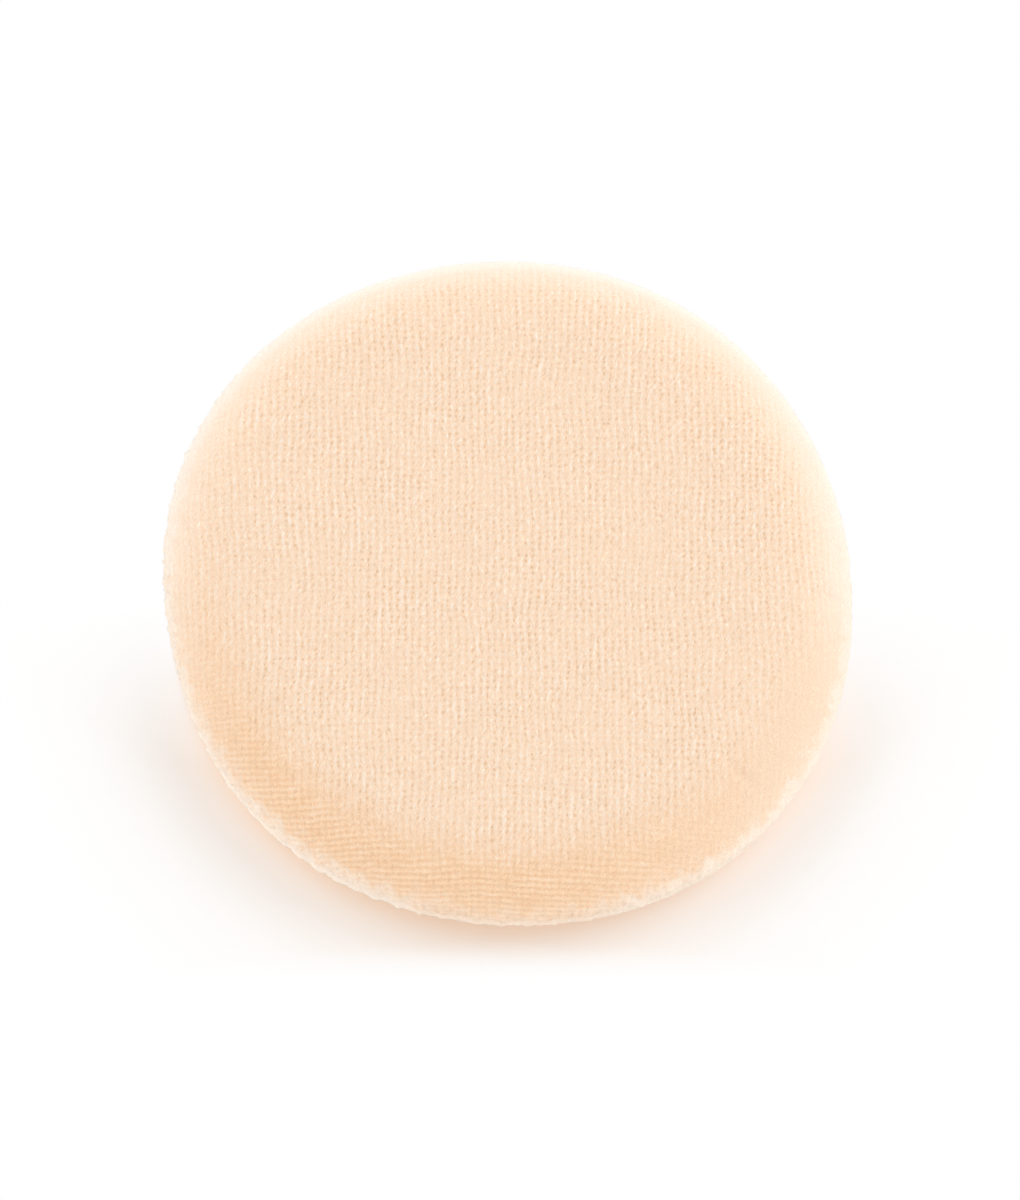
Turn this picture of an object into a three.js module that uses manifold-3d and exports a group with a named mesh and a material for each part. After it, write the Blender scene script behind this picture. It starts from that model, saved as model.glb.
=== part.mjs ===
// Round velour powder puff: two velour covers sewn face to face and turned, filled with a foam disc,
// with a satin finger ribbon across the back. Millimetres, +Z up through the powdering face.
// The origin is on the resting plane under the middle of the puff, and the ribbon runs along X.
import * as THREE from "three";
import { mergeVertices } from "three/addons/utils/BufferGeometryUtils.js";
import Module from "manifold-3d";

const wasm = await Module();
wasm.setup();

// The puff as a whole
const puffDiameter = 80;
const puffThickness = 16;
const faceDiameter = 59; // level part of the powdering face
const faceCrown = 0.6; // rise of that face from its edge to its middle
const backDiameter = 60; // level part that lies on the table
const seamHeight = 7.2; // middle of the seam above the table
const seamNip = 0.5; // how far the stitches draw the seam in

// Velour covers
const coverThickness = 1.6; // ground cloth and pile
const allowanceWidth = 5; // edge turned in at the seam
const allowanceThickness = 0.8; // the same cloth with its pile pressed flat
const seamGap = 0.3; // between the two turned-in edges

// Foam disc
const fitClearance = 0.3; // round the foam, and between the ribbon and the cloth

// Finger ribbon
const ribbonWidth = 14;
const ribbonThickness = 0.4;
const ribbonInset = 0.1; // its outer face below the pile beside it
const ribbonTail = 4.5; // length of each end that is caught in the seam

// Sewing
const threadDiameter = 0.3;
const threadClearance = 0.2; // round a thread in the cloth
const stitchCount = 60; // stitches in a full turn of the seam
const closingStitches = 8; // of these, left open for turning and closed by hand
const stitchInset = 1.2; // stitch line inwards from the inside of the cover's wall
const stitchRise = 0.6; // length along the seam in which a thread goes through the cloth
const closingInset = 1.1; // hand-sewn thread inwards from the outside of the wall
const closingDepth = 0.6; // hand-sewn thread above and below the middle of the seam

// Fineness of the faceted surfaces
const turnSegments = 48;
const roundSteps = 6;
const crownSteps = 2;
const ribbonSteps = 4;
const threadSides = 4;
const mergeDistance = 1e-4; // corners closer than this are one corner

const puffRadius = puffDiameter / 2;
const threadRadius = threadDiameter / 2;
const foldHeight = seamGap / 2 + allowanceThickness; // top of a turned-in edge, from the seam's middle
const allowanceEdge = puffRadius - seamNip - allowanceWidth;
const stitchRadius = puffRadius - coverThickness - stitchInset;
const stitchAngle = (2 * Math.PI) / stitchCount;
const seamStart = Math.PI / 2 + (closingStitches / 2) * stitchAngle; // the open stretch is centred on +Y

// The two sides of the puff: which way they face, and the middle and the edge of their level part.
const frontSide = {
  facing: 1,
  faceRadius: faceDiameter / 2,
  middle: puffThickness,
  edge: puffThickness - faceCrown,
};
const backSide = { facing: -1, faceRadius: backDiameter / 2, middle: 0, edge: 0 };

// The level part of a side, set in by a depth, as radius and height from the middle outwards.
function levelPart(side, inset) {
  return Array.from({ length: crownSteps }, (_, i) => {
    const share = i / crownSteps;
    const height = THREE.MathUtils.lerp(side.middle, side.edge, share ** 2);
    return new THREE.Vector2(side.faceRadius * share, height - side.facing * inset);
  });
}

// The quarter ellipse from a side's level part down to a height next to the seam, set in by a depth.
function roundedEdge(side, inset, lowest = foldHeight) {
  const width = puffRadius - inset - side.faceRadius;
  const foot = seamHeight + side.facing * foldHeight;
  const rise = side.edge - side.facing * inset - foot;
  const start = Math.asin((side.facing * (lowest - foldHeight)) / rise);
  return Array.from({ length: roundSteps + 1 }, (_, i) => {
    const angle = THREE.MathUtils.lerp(Math.PI / 2, start, i / roundSteps);
    return new THREE.Vector2(side.faceRadius + width * Math.cos(angle), foot + rise * Math.sin(angle));
  });
}

// Turns a section of radii and heights round the Z axis.
function turned(section) {
  return new THREE.LatheGeometry(section, turnSegments).rotateX(Math.PI / 2);
}

function toSolid(geometry) {
  const bare = new THREE.BufferGeometry();
  bare.setAttribute("position", geometry.getAttribute("position"));
  bare.setIndex(geometry.index);
  const merged = mergeVertices(bare, mergeDistance);
  const vertProperties = merged.attributes.position.array;
  const triVerts = new Uint32Array(merged.index.array);
  return new wasm.Manifold(new wasm.Mesh({ numProp: 3, vertProperties, triVerts }));
}

function toGeometry(solid) {
  const mesh = solid.getMesh();
  const geometry = new THREE.BufferGeometry();
  geometry.setAttribute("position", new THREE.BufferAttribute(mesh.vertProperties, 3));
  geometry.setIndex(new THREE.BufferAttribute(mesh.triVerts, 1));
  geometry.computeVertexNormals();
  return geometry;
}

// One velour cover: a crowned shell whose edge turns inwards at the seam.
function coverShell(side) {
  const seamSide = seamHeight + (side.facing * seamGap) / 2;
  const foldSide = seamHeight + side.facing * foldHeight;
  const section = [
    ...levelPart(side, 0),
    ...roundedEdge(side, 0),
    new THREE.Vector2(puffRadius - seamNip, seamSide),
    new THREE.Vector2(allowanceEdge, seamSide),
    new THREE.Vector2(allowanceEdge, foldSide),
    ...roundedEdge(side, coverThickness).reverse(),
    ...levelPart(side, coverThickness).reverse(),
  ];
  return turned(side.facing > 0 ? section.reverse() : section);
}

// The foam disc fills the covers and closes round the turned-in edges and their stitches.
function foamDisc() {
  const inset = coverThickness + fitClearance;
  const groove = foldHeight + threadDiameter + 2 * threadClearance;
  const grooveRadius = allowanceEdge - fitClearance;
  return turned([
    ...levelPart(backSide, inset),
    ...roundedEdge(backSide, inset, groove),
    new THREE.Vector2(grooveRadius, seamHeight - groove),
    new THREE.Vector2(grooveRadius, seamHeight + groove),
    ...roundedEdge(frontSide, inset, groove).reverse(),
    ...levelPart(frontSide, inset).reverse(),
  ]);
}

// The middle of the ribbon's thickness, from one caught end round the back to the other.
function ribbonLine(margin) {
  const depth = ribbonInset + ribbonThickness / 2;
  const half = [
    new THREE.Vector2(puffRadius - seamNip - ribbonTail - margin, seamHeight),
    new THREE.Vector2(puffRadius - seamNip - depth, seamHeight),
    ...roundedEdge(backSide, depth).reverse(),
  ];
  const mirrored = half.map((point) => new THREE.Vector2(-point.x, point.y)).reverse();
  return [...half, ...mirrored];
}

// A line moved sideways by a distance, square to the run of its neighbouring points.
function offsetLine(line, distance) {
  return line.map((point, i) => {
    const before = line[Math.max(i - 1, 0)];
    const after = line[Math.min(i + 1, line.length - 1)];
    const run = after.clone().sub(before).normalize();
    return new THREE.Vector2(point.x - run.y * distance, point.y + run.x * distance);
  });
}

// The ribbon, or with a margin the room that it takes up in the cloth: a band bent to the round edge.
function ribbonBand(margin) {
  const halfThickness = ribbonThickness / 2 + margin;
  const width = ribbonWidth + 2 * margin;
  const line = ribbonLine(margin);
  const outline = [...offsetLine(line, halfThickness), ...offsetLine(line, -halfThickness).reverse()];
  const options = { depth: width, steps: ribbonSteps, bevelEnabled: false };
  const band = new THREE.ExtrudeGeometry(new THREE.Shape(outline), options);
  band.rotateX(Math.PI / 2).translate(0, width / 2, 0);
  const place = band.getAttribute("position");
  for (let i = 0; i < place.count; i += 1) {
    place.setX(i, place.getX(i) * Math.sqrt(1 - (place.getY(i) / puffRadius) ** 2));
  }
  return band;
}

// A thread's path: straight from point to point, and sampled at those points.
class ThreadPath extends THREE.Curve {
  constructor(points) {
    super();
    this.points = points;
  }
  getPoint(t, target = new THREE.Vector3()) {
    const last = this.points.length - 1;
    const first = Math.min(Math.max(Math.floor(t * last), 0), last - 1);
    return target.lerpVectors(this.points[first], this.points[first + 1], t * last - first);
  }
  getPointAt(u, target) {
    return this.getPoint(u, target);
  }
  getTangentAt(u, target) {
    return this.getTangent(u, target);
  }
}

function atAngle(radius, angle, height) {
  return new THREE.Vector3(radius * Math.cos(angle), radius * Math.sin(angle), height);
}

function thread(points, radius) {
  const section = Array.from({ length: threadSides }, (_, i) => {
    const angle = (i / threadSides) * 2 * Math.PI;
    return new THREE.Vector2(radius * Math.cos(angle), radius * Math.sin(angle));
  });
  const extrudePath = new ThreadPath(points);
  return new THREE.ExtrudeGeometry(new THREE.Shape(section), { steps: points.length - 1, extrudePath });
}

// Angles at which the seam is pierced.
function stitchAngles() {
  const count = stitchCount - closingStitches;
  return Array.from({ length: count }, (_, i) => seamStart + (i + 0.5) * stitchAngle);
}

// One thread of the lockstitch: it lies on a turned-in edge and dips to the middle of the seam at each hole.
function lockstitch(facing) {
  const lying = seamHeight + facing * (foldHeight + threadClearance + threadRadius);
  const dipped = seamHeight + facing * (threadRadius + threadClearance / 2);
  const lean = stitchRise / stitchRadius;
  const points = stitchAngles().flatMap((angle) => [
    atAngle(stitchRadius, angle - stitchAngle / 2, lying),
    atAngle(stitchRadius, angle - lean, lying),
    atAngle(stitchRadius, angle, dipped),
    atAngle(stitchRadius, angle + lean, lying),
  ]);
  return thread(points, threadRadius);
}

// A hole through both turned-in edges for each stitch.
function stitchHoles() {
  const room = threadRadius + threadClearance;
  const size = [2 * room, 2 * (stitchRise + room), 2 * (foldHeight + fitClearance)];
  const holes = stitchAngles().map((angle) => {
    const hole = new THREE.BoxGeometry(...size);
    const middle = atAngle(stitchRadius, angle, seamHeight);
    return toSolid(hole.rotateZ(angle).translate(middle.x, middle.y, middle.z));
  });
  return holes.reduce((all, hole) => all.add(hole));
}

// Ladder stitch over the open stretch: it runs inside one folded edge, then crosses to the other.
function ladderStitch() {
  const radius = puffRadius - closingInset;
  const rungs = 2 * closingStitches - 2;
  const first = seamStart - (closingStitches - 0.5) * stitchAngle;
  return Array.from({ length: rungs }, (_, i) => {
    const height = seamHeight + (i % 2 ? closingDepth : -closingDepth);
    const angle = first + (i * stitchAngle) / 2;
    return [atAngle(radius, angle, height), atAngle(radius, angle + stitchAngle / 2, height)];
  }).flat();
}

const velour = new THREE.MeshStandardMaterial({ color: 0xfadfc3, roughness: 0.95, metalness: 0 });
const foam = new THREE.MeshStandardMaterial({ color: 0xfff3dd, roughness: 0.9, metalness: 0 });
const satin = new THREE.MeshStandardMaterial({ color: 0xf5d2b0, roughness: 0.35, metalness: 0 });
const polyester = new THREE.MeshStandardMaterial({ color: 0xf6dcc2, roughness: 0.6, metalness: 0 });

const ribbonRoom = toSolid(ribbonBand(fitClearance));
const holes = stitchHoles();
const ladder = ladderStitch();
const ladderRoom = toSolid(thread(ladder, threadRadius + threadClearance));

function coverCloth(side) {
  return toGeometry(toSolid(coverShell(side)).subtract(ribbonRoom).subtract(holes).subtract(ladderRoom));
}

function ribbonCloth() {
  return toGeometry(toSolid(ribbonBand(0)).subtract(holes));
}

const puff = new THREE.Group();

function addPiece(name, geometry, material) {
  const piece = new THREE.Mesh(geometry, material);
  piece.name = name;
  puff.add(piece);
}

addPiece("front_cover", coverCloth(frontSide), velour);
addPiece("back_cover", coverCloth(backSide), velour);
addPiece("foam_core", foamDisc(), foam);
addPiece("finger_ribbon", ribbonCloth(), satin);
addPiece("seam_needle_thread", lockstitch(1), polyester);
addPiece("seam_bobbin_thread", lockstitch(-1), polyester);
addPiece("closing_thread", thread(ladder, threadRadius), polyester);

export default puff;
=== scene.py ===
import bpy
import numpy as np
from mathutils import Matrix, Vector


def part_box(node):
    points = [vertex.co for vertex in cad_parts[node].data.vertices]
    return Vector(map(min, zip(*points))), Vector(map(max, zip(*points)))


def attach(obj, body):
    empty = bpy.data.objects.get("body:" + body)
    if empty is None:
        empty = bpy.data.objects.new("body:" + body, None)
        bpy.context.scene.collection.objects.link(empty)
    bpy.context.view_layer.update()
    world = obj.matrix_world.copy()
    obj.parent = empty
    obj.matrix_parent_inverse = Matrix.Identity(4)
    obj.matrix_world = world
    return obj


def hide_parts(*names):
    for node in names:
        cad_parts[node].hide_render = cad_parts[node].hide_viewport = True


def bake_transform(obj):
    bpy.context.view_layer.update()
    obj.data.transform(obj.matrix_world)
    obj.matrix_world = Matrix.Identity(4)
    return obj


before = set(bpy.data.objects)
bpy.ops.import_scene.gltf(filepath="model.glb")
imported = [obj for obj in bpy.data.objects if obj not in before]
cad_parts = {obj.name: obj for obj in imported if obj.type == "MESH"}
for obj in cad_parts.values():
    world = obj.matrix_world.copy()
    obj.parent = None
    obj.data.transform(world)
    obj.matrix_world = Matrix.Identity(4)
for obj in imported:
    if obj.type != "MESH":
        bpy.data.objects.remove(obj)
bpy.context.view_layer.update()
mm = 0.001
print("frame loaded:", ", ".join(sorted(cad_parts)))


# Helpers for colours, nodes and meshes

def linearColour(hexText):
    # sRGB hex to linear RGB with alpha 1
    channels = np.array([int(hexText[i:i + 2], 16) for i in (1, 3, 5)]) / 255
    low, high = channels / 12.92, ((channels + 0.055) / 1.055) ** 2.4
    return (*np.where(channels <= 0.04045, low, high).tolist(), 1.0)


def addNode(tree, kind, settings=None, inputs=None, stops=None):
    # settings go to the node itself; an input is a value, or a socket to link from; stops of a ramp
    # are pairs of a position from 0 to 1 and a hex colour or a grey level, in rising order
    node = tree.nodes.new(kind)
    for name, value in (settings or {}).items():
        setattr(node, name, value)
    if stops:
        elements = node.color_ramp.elements
        for _ in stops[2:]:
            elements.new(1.0)
        for element, (position, tone) in zip(elements, stops):
            element.position = position
            element.color = linearColour(tone) if isinstance(tone, str) else (tone, tone, tone, 1)
    for name, value in (inputs or {}).items():
        if isinstance(value, bpy.types.NodeSocket):
            tree.links.new(value, node.inputs[name])
        else:
            node.inputs[name].default_value = value
    return node


def newMaterial(name):
    material = bpy.data.materials.new(name)
    material.use_nodes = True
    material.node_tree.nodes.clear()
    return material, material.node_tree


def smoothStep(low, high, value):
    # 0 at low, 1 at high, level at both
    t = np.clip((value - low) / (high - low), 0, 1)
    return t * t * (3 - 2 * t)


def towardsSide(angle, zone):
    # 0 to 1 by the cosine of the angle from the direction in degrees that the zone names
    return smoothStep(*zone["side"], np.cos(angle - np.radians(zone["towards"])))


def unit(vectors):
    return vectors / np.linalg.norm(vectors, axis=-1, keepdims=True)


def meshPiece(name, points, faces, material, attributes=None, uv=None):
    # points in mm, faces as an array of corner numbers with 3 or 4 columns, uv for each point
    mesh = bpy.data.meshes.new(name)
    mesh.vertices.add(len(points))
    mesh.vertices.foreach_set("co", (points * mm).astype(np.float32).ravel())
    corners = faces.shape[1]
    mesh.loops.add(faces.size)
    mesh.loops.foreach_set("vertex_index", faces.astype(np.int32).ravel())
    mesh.polygons.add(len(faces))
    mesh.polygons.foreach_set("loop_start", np.arange(0, faces.size, corners, dtype=np.int32))
    mesh.polygons.foreach_set("use_smooth", np.ones(len(faces), bool))
    mesh.update(calc_edges=True)
    for label, values in (attributes or {}).items():
        layer = mesh.attributes.new(label, "FLOAT", "POINT")
        layer.data.foreach_set("value", values.astype(np.float32).ravel())
    if uv is not None:
        layer = mesh.uv_layers.new(name="OFBake")
        layer.uv.foreach_set("vector", uv[faces].astype(np.float32).ravel())
    mesh.materials.append(material)
    piece = bpy.data.objects.new(name, mesh)
    bpy.context.collection.objects.link(piece)
    print(name, len(faces) * (corners - 2), "triangles")
    return piece


# Shape of the puff in mm, from the boxes of the frame

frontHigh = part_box("front_cover")[1]
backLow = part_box("back_cover")[0]
closingLow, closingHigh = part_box("closing_thread")
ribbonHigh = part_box("finger_ribbon")[1]
foamLow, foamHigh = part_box("foam_core")

puffShape = {
    "radius": frontHigh.x / mm,
    "seamHeight": (closingLow.z + closingHigh.z) / 2 / mm,
    "seamRound": 0.7,          # cloth turns in at the seam on this radius
    "turnedIn": 1.6,           # cloth inside the seam
    "edgePile": 0.4,           # loose pile that stands beyond the net of tufts at the rounded edge
    # out of round: lobes in a full turn, share of the radius, direction of one lobe
    "lobes": ((2, 0.0161, 141.5), (3, 0.0037, -50.4), (4, 0.0076, -39.1), (5, 0.0012, 13.6)),
    "edgeStretch": 1.15,       # cloth spreads over the rounded edge by this factor
    "stretchStart": 4.0,       # and starts to do so this far inside the level part
    "swell": 0.03,             # uneven filling under the cloth, crest height and length
    "swellLength": 17.0,
    "ribbonHalf": ribbonHigh.y / mm,
    "ribbonRoom": 0.32,        # each cover gives way by this where a ribbon end is caught
    "roomBeside": (0.8, 0.1),  # it starts and is full at these distances beside the ribbon
    "roomAtSeam": (-0.6, 0.4),   # and at these past the seam
    "points": {"level": 200, "edge": 300, "turn": 60, "inside": 20},   # of the half section
    "front": {"facing": 1, "faceRadius": 29.5, "crown": 0.6, "level": frontHigh.z / mm},
    "back": {"facing": -1, "faceRadius": 30.0, "crown": 0.0, "level": backLow.z / mm},
}


def sideProfile(side):
    # Half section from the middle to inside the seam, as radius and height above the seam:
    # the level part falls with the square of the radius, the edge is a part of an ellipse,
    # a small arc turns in at the seam and a straight stretch goes inside.
    points = puffShape["points"]
    edgeRadius = puffShape["radius"] - puffShape["edgePile"]
    turn = puffShape["seamRound"]
    face = side["faceRadius"]
    height = abs(side["level"] - puffShape["seamHeight"])
    rise = height - side["crown"] - turn
    slope = 2 * side["crown"] / face
    start = np.pi / 2 - np.arctan(slope * (edgeRadius - face) / rise)
    wide, tall = (edgeRadius - face) / (1 - np.cos(start)), rise / np.sin(start)
    levelRadius = np.linspace(0, face, points["level"], endpoint=False)
    levelHeight = height - side["crown"] * (levelRadius / face) ** 2
    angle = np.linspace(start, 0, points["edge"], endpoint=False)
    roundRadius = edgeRadius - wide + wide * np.cos(angle)
    roundHeight = turn + tall * np.sin(angle)
    bend = np.linspace(0, np.pi / 2, points["turn"], endpoint=False)
    bendRadius = edgeRadius - turn + turn * np.cos(bend)
    bendHeight = turn - turn * np.sin(bend)
    inRadius = edgeRadius - turn - np.linspace(0, puffShape["turnedIn"], points["inside"])
    radius = np.concatenate([levelRadius, roundRadius, bendRadius, inRadius])
    rise = np.concatenate([levelHeight, roundHeight, bendHeight, 0 * inRadius])
    step = np.hypot(np.diff(radius), np.diff(rise))
    along = np.concatenate([[0], np.cumsum(step)])
    tangentR, tangentZ = np.gradient(radius, along), np.gradient(rise, along)
    # cloth measured flat: it spreads towards the seam, so it is shorter than the surface
    spread = smoothStep(face - puffShape["stretchStart"], edgeRadius, radius)
    stretch = 1 + (puffShape["edgeStretch"] - 1) * spread
    cloth = np.concatenate([[0], np.cumsum(step / stretch[1:])])
    seamStart = len(levelRadius) + len(roundRadius)
    return {
        "cloth": cloth, "radius": radius, "rise": rise, "normalR": -tangentZ, "normalZ": tangentR,
        "reach": cloth[-1], "seamCloth": cloth[seamStart], "faceCloth": cloth[len(levelRadius)],
    }


unevenness = {"seed": 11, "waves": 14, "leastSize": 0.5}
waveRandom = np.random.default_rng(unevenness["seed"])
waveTable = [   # direction, phase and size
    (waveRandom.normal(0, 1, 2), waveRandom.uniform(0, 2 * np.pi),
     waveRandom.uniform(unevenness["leastSize"], 1))
    for _ in range(unevenness["waves"])]


def softWaves(across, along, length):
    # sum of plane sine waves in random directions, about length mm from crest to crest
    total = sum(size * np.sin((d[0] * across + d[1] * along) * 2 * np.pi / length + phase)
                for d, phase, size in waveTable)
    return total / len(waveTable) ** 0.5


# Tucks of the front at the caught ribbon end, and a crease on the lower right: direction in degrees,
# then mm of cloth from the middle, depth and half sizes in mm
dents = [
    {"angle": 3.0, "cloth": 40.0, "depth": 0.28, "wide": 1.1, "long": 2.2},
    {"angle": -3.0, "cloth": 38.0, "depth": 0.3, "wide": 0.8, "long": 3.0},
    {"angle": -41.0, "cloth": 34.5, "depth": 0.4, "wide": 0.7, "long": 2.2},
]


def onPuff(side, profile, across, along, lift):
    # A point of the flat cloth goes to the surface at its distance from the middle, in its own
    # direction, and is then lifted square to the surface. Dents are bell curves taken off the lift,
    # and the outline is out of round by cosines of the angle. Returns points and normals.
    cloth = np.hypot(across, along)
    angle = np.arctan2(along, across)
    radius, rise, normalR, normalZ = (
        np.interp(cloth, profile["cloth"], profile[key])
        for key in ("radius", "rise", "normalR", "normalZ"))
    lift = lift + puffShape["swell"] * softWaves(across, along, puffShape["swellLength"])
    if side["facing"] > 0:
        for dent in dents:
            turn = np.radians(dent["angle"])
            out = across * np.cos(turn) + along * np.sin(turn) - dent["cloth"]
            aside = along * np.cos(turn) - across * np.sin(turn)
            bell = np.exp(-(aside / dent["wide"]) ** 2 - (out / dent["long"]) ** 2)
            lift = lift - dent["depth"] * bell
    radius = radius + lift * normalR
    rise = rise + lift * normalZ
    besideRibbon = np.abs(radius * np.sin(angle)) - puffShape["ribbonHalf"]
    caught = smoothStep(*puffShape["roomBeside"], besideRibbon)
    inSeam = smoothStep(*puffShape["roomAtSeam"], cloth - profile["seamCloth"])
    rise = rise + puffShape["ribbonRoom"] * caught * inSeam
    uneven = sum(share * np.cos(count * (angle - np.radians(towards)))
                 for count, share, towards in puffShape["lobes"])
    radius = radius * (1 + uneven * (radius / puffShape["radius"]) ** 2)
    points = np.stack([
        radius * np.cos(angle), radius * np.sin(angle),
        puffShape["seamHeight"] + side["facing"] * rise], axis=-1)
    normals = np.stack([
        normalR * np.cos(angle), normalR * np.sin(angle), side["facing"] * normalZ], axis=-1)
    return points, normals


# Velour: knitted ground with a short cut pile, matt cotton. Tufts stand in ribs along Y with small
# gaps between them; tips are pale, the gaps are deepened by painted shade, and the ground is a deeper
# peach where the pile opens, partly painted shade.

velour = {
    "ribSpacing": 0.854,   # mm between ribs, which run along Y
    "rowSpacing": 0.713,   # mm between rows of tufts
    # each cover's points in a cell, across and along the ribs, and its seed
    "front": {"points": (8, 5), "seed": 21},
    "back": {"points": (4, 3), "seed": 22},
    # What stands in a cell: its part in the height, the rows it takes, its place in the cell, and then
    # its sizes in shares of a cell, each as mean and spread. A stroke is pile that stands over several
    # rows.
    "tuft": {"part": 0.55, "rows": 1, "at": 0.5, "wide": (0.13, 0.025), "long": (0.34, 0.08),
             "size": (0.82, 0.3), "lean": (0.14, 0.3), "aside": (0.0, 0.1), "ahead": (0.0, 0.16)},
    "gap": {"part": -0.66, "rows": 1, "at": 0.0, "wide": (0.15, 0.03), "long": (0.255, 0.06),
            "size": (0.78, 0.26), "lean": (0.1, 0.2), "aside": (0.0, 0.09), "ahead": (0.0, 0.13)},
    "stroke": {"part": 0.4, "rows": 4, "at": 0.5, "wide": (0.11, 0.02), "long": (0.3, 0.1),
               "size": (-0.1, 0.5), "lean": (0.15, 0.35), "aside": (0.0, 0.1), "ahead": (0.0, 0.25)},
    "level": 0.55,         # height between the gaps and the tufts, where 1 is a tip
    "depth": 0.14,         # mm from height 1 to height 0
    "fray": 0.008,         # mm, uneven fibre ends
    "patch": {"part": 0.2, "length": 14.0},   # the knit is deeper in some patches, flatter in others
    "drift": {"size": 0.28, "length": 26.0, "shift": 40.0},   # slow wander of the whole knit in mm
    "border": {"length": 2.5, "spread": 0.3},   # ragged borders of the zones
    # Zones of the rounded edge. towards: a direction in degrees; side: the cosines of the angle from it
    # where the zone starts and is full; band: where it does so in mm of cloth, past the level part or,
    # for rim and fringe, past the seam; ragged: mm by which the border moves it; part: its most.
    # On this side of the front the rows part and the ground shows, its deeper tone painted shade for the
    # side away from the key lamps and for looking into the nap.
    "parting": {"towards": 252.0, "side": (0.12, 0.95), "band": (0.0, 7.5), "ragged": 0.8, "part": 0.6,
                "depth": 0.1, "wander": 0.1, "wanderLength": 2.6,
                "tone": 0.7, "toneSpread": 0.3, "toneLength": 4.0},
    # On the rest of the edge the pile closes over the gaps, in one direction sooner, by some mm, with a
    # deeper tone and less painted sheen.
    "closing": {"band": (5.0, 10.5), "ragged": 0.6, "part": 0.8, "tone": 0.8},
    "sooner": {"towards": 322.0, "side": (0.75, 0.97), "by": 3.5, "deeper": 0.35, "unbrushed": 0.6},
    # Painted sheen: on this side, where the light falls, the edge is paler.
    "litEdgeSheen": {"towards": 30.0, "side": (-0.95, 0.2), "band": (4.0, 13.5), "part": 0.48},
    # Along the seam it is pale too, a painted glow of light caught by the pile, with less of it in front,
    # and it stands out as a lip with tufts and lumps, all in mm, which are smoother on the lit side.
    "rim": {"band": (-3.4, -0.6), "ragged": 0.7, "part": 0.65, "worn": 0.55, "wornSide": (0.93, 0.99),
            "lipStart": (-3.2, -0.6), "lipEnd": (0.4, 0.0), "out": 0.3,
            "tufts": 0.28, "lumps": 0.18, "lumpLength": 2.2, "smooth": 0.8},
    # The front is palest on its far side, and by a share on the lit side, a painted glow of backlit pile:
    # a ridge that stands out some mm above the seam and falls off towards it.
    "litFringe": {"towards": 85.0, "side": (-0.35, 0.25), "brushedSide": 0.7, "band": (-3.0, 0.0),
               "rise": 1.6, "end": (0.0, 1.6), "fade": 0.7, "part": 0.95, "out": 0.45},
    "inSeam": {"start": 0.5, "kept": 0.2, "sink": 0.05},   # the pile is flat inside the seam
    "underRibbon": {"beside": (0.6, 0.0), "flat": 0.6, "press": 0.75},   # and pressed under the ribbon
    "clearOfFloor": 0.01,  # mm
    "pile": ((0.0, "#EDC9A4"), (0.55, "#FBDFC4"), (1.0, "#FFEFDF")),     # from the gaps to the tips: deeper in the gaps is painted shade, paler at the tips
    "groundAndShade": ((0.0, "#E9BC90"), (0.5, "#FBD4AE"), (1.0, "#FFE5CC")),    # the same where the rows part, deeper there as painted shade
    "groundAndShadePart": 0.8,
    "paintedSheen": "#FFF6EB",  # painted sheen: pale where light catches the pile at the edges
    # grain of the tone: mm, part in the tone, and the middle of its noise. Clumps of fibre ends are drawn
    # out along the ribs; single fibre ends are drawn coarser than the real 0.02 so that they show.
    "grain": {
        "cloud": {"size": 9.0, "part": 0.016, "middle": 0.5},
        "clump": {"size": 0.15, "part": 0.12, "middle": 0.12},
        "fibre": {"size": 0.13, "part": 0.3, "middle": 0.5},
    },
    "clumpStretch": 0.3,
    "clumpBand": (0.5, 0.68),   # from the bottom of the clumps to their pale ends, in the noise
    "bump": {"Strength": 0.6, "Distance": 0.06 * mm},
    "finish": {"Roughness": 0.95, "Specular IOR Level": 0.1,
               "Sheen Weight": 1.0, "Sheen Roughness": 0.32},
    "sheenTint": "#FFF8F0",
}


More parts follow.
